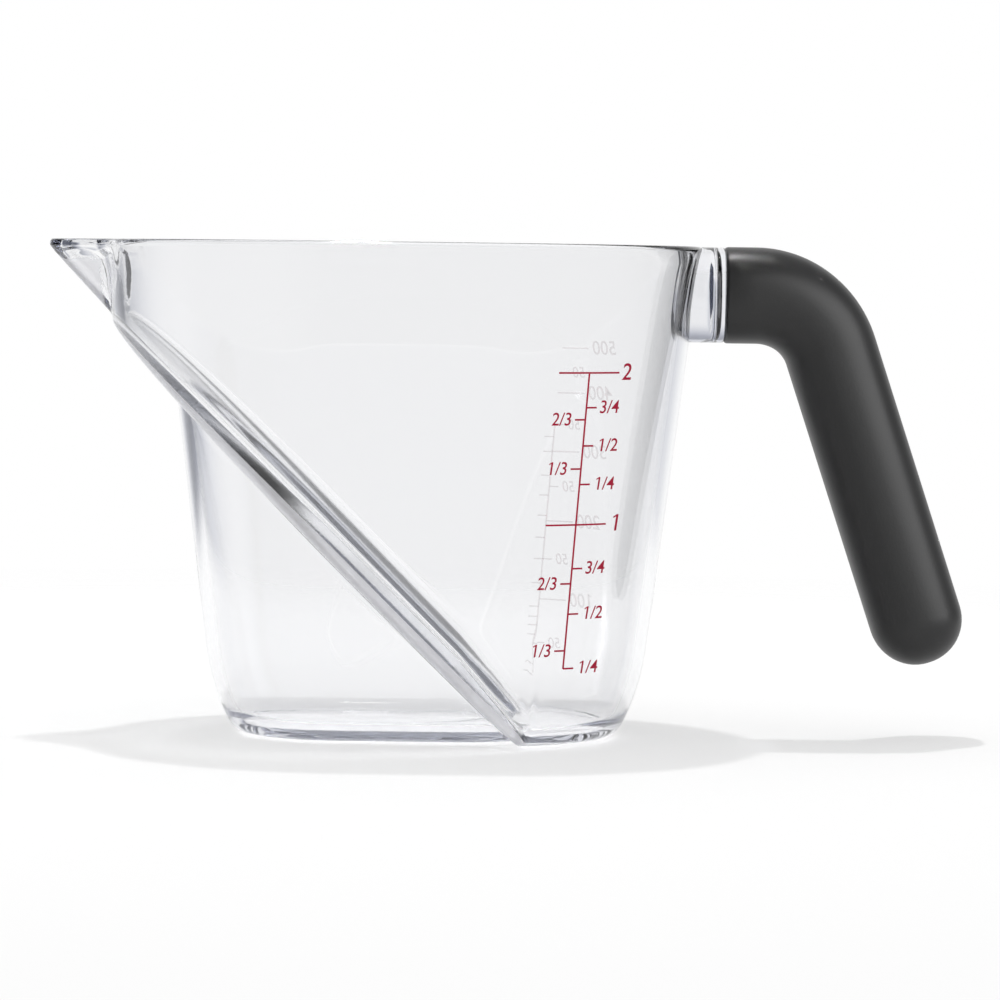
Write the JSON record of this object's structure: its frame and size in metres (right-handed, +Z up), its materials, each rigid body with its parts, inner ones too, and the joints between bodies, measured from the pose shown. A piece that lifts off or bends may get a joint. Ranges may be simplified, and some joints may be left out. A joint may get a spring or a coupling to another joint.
{
  "type": "angled measuring cup",
  "caption": "Clear measuring jug with an inclined inner measuring ledge, a pouring spout and a soft dark grip moulded over a bent handle.",
  "frame": {"origin": "on the table, under the middle of the cup's oval", "axes": "+Z up, +X towards the handle, -X towards the spout, +Y across the cup"},
  "size_m": [0.2, 0.104, 0.107],
  "materials": {
    "clear_body": "clear, polished",
    "core": "moulded",
    "grip": "soft-touch, matte"
  },
  "bodies": {
    "root": {"cup_body": "clear_body", "handle_core": "core", "handle_grip": "grip"}
  },
  "joints": []
}
